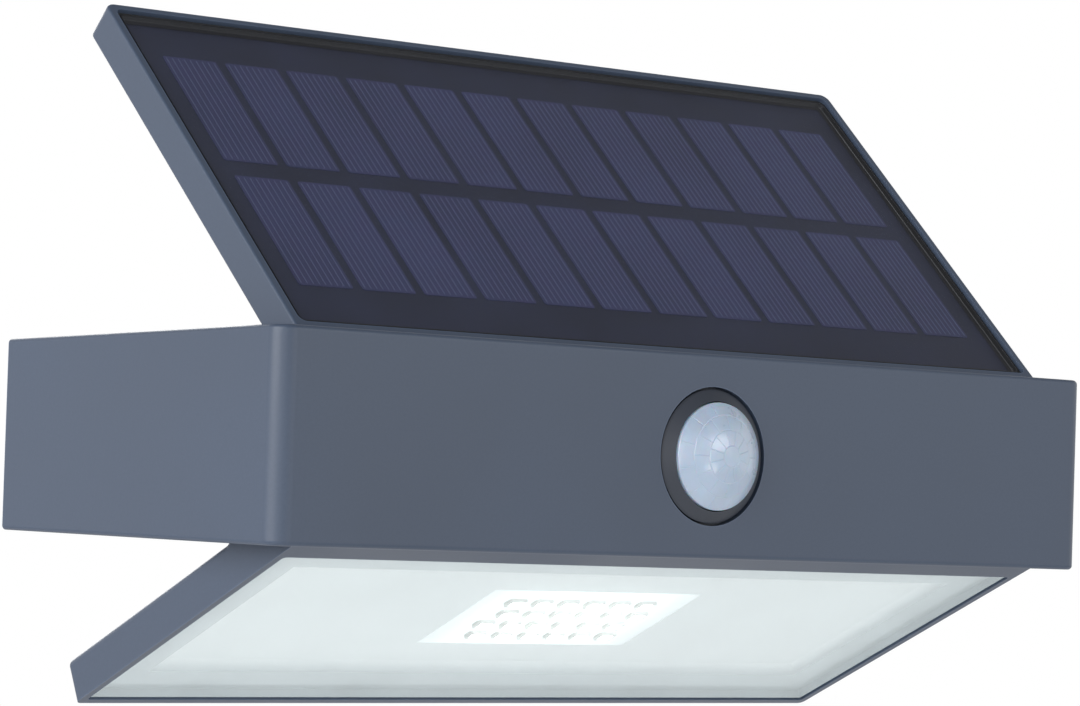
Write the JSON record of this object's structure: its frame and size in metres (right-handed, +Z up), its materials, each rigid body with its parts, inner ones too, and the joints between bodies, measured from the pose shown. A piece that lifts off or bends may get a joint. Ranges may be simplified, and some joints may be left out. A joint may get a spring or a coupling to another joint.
{
  "type": "solar wall lamp",
  "caption": "Wall lamp with a tilting solar panel above a shallow housing, a tilting flat light head below it and a motion sensor dome in front.",
  "frame": {"origin": "centre of the wall bracket's flat back face, on the wall plane", "axes": "+Y into the wall, so the lamp's front faces -Y; +X to the right of a person who looks at the lamp; +Z up"},
  "size_m": [0.19, 0.0871, 0.1231],
  "materials": {
    "housing_grey": "satin slate-grey paint on moulded plastic",
    "cover_black": "fine moulded texture",
    "bezel_charcoal": "fine moulded texture",
    "milky_dome": "milky, slightly translucent, with fine lens facets",
    "panel_glass": "clear, glossy",
    "solar_silicon": "violet-blue silicon with fine contact lines",
    "navy_backsheet": "smooth, nearly black",
    "lens_pane": "clear pane with a frosted edge",
    "white_moulding": "smooth white",
    "led_phosphor": "smooth",
    "soft_rubber": "matt",
    "zinc_steel": "zinc plated",
    "bright_steel": "smooth",
    "nylon": "smooth",
    "black_moulding": "smooth",
    "connector_white": "smooth",
    "circuit_board": "solder mask",
    "battery_wrap": "shrink film",
    "lead_insulation": "smooth",
    "spreader_aluminium": "mill finish"
  },
  "bodies": {
    "housing": {"housing": "housing_grey", "back_cover": "cover_black", "sensor_bezel": "bezel_charcoal", "sensor_lens": "milky_dome", "back_cover_gasket": "soft_rubber", "sensor_gasket": "soft_rubber", "wall_bracket": "zinc_steel", "lock_screws": "zinc_steel", "back_cover_screws": "zinc_steel", "control_board_screws": "zinc_steel", "panel_hinge_pins": "bright_steel", "head_hinge_pins": "bright_steel", "sensor_can": "bright_steel", "battery_contacts": "bright_steel", "panel_friction_washers": "nylon", "head_friction_washers": "nylon", "sensor_holder": "nylon", "battery_holder": "black_moulding", "control_board_parts": "black_moulding", "mode_switch": "black_moulding", "lead_connectors": "connector_white", "control_board": "circuit_board", "sensor_board": "circuit_board", "battery_cell": "battery_wrap", "solar_lead": "lead_insulation", "light_lead": "lead_insulation", "sensor_lead": "lead_insulation", "battery_lead": "lead_insulation"},
    "panel": {"panel_tray": "housing_grey", "panel_glass": "panel_glass", "solar_cells": "solar_silicon", "panel_backsheet": "navy_backsheet", "panel_seal": "soft_rubber", "panel_bus_strips": "bright_steel", "panel_diode_board": "circuit_board", "panel_diode": "black_moulding", "panel_lead": "lead_insulation"},
    "head": {"head_casing": "housing_grey", "head_lens": "lens_pane", "lens_gasket": "soft_rubber", "reflector": "white_moulding", "led_board": "white_moulding", "leds": "led_phosphor", "heat_spreader": "spreader_aluminium", "heat_spreader_screws": "zinc_steel", "head_lead": "lead_insulation"},
    "button": {"mode_button": "soft_rubber"}
  },
  "joints": [
    {"name": "panel_tilt", "type": "hinge", "parent": "housing", "child": "panel", "pos_m": [0, -0.07427, 0.01524], "axis": [-1, 0, 0], "range_deg": [-46, 8]},
    {"name": "head_tilt", "type": "hinge", "parent": "housing", "child": "head", "pos_m": [0, -0.073, -0.0145], "axis": [-1, 0, 0], "range_deg": [-20, 65]},
    {"name": "button_press", "type": "slide", "parent": "housing", "child": "button", "axis": [0, 0, 1], "range_m": [0, 0.0009], "stiffness_N_per_m": 600, "springref_m": -0.001}
  ]
}
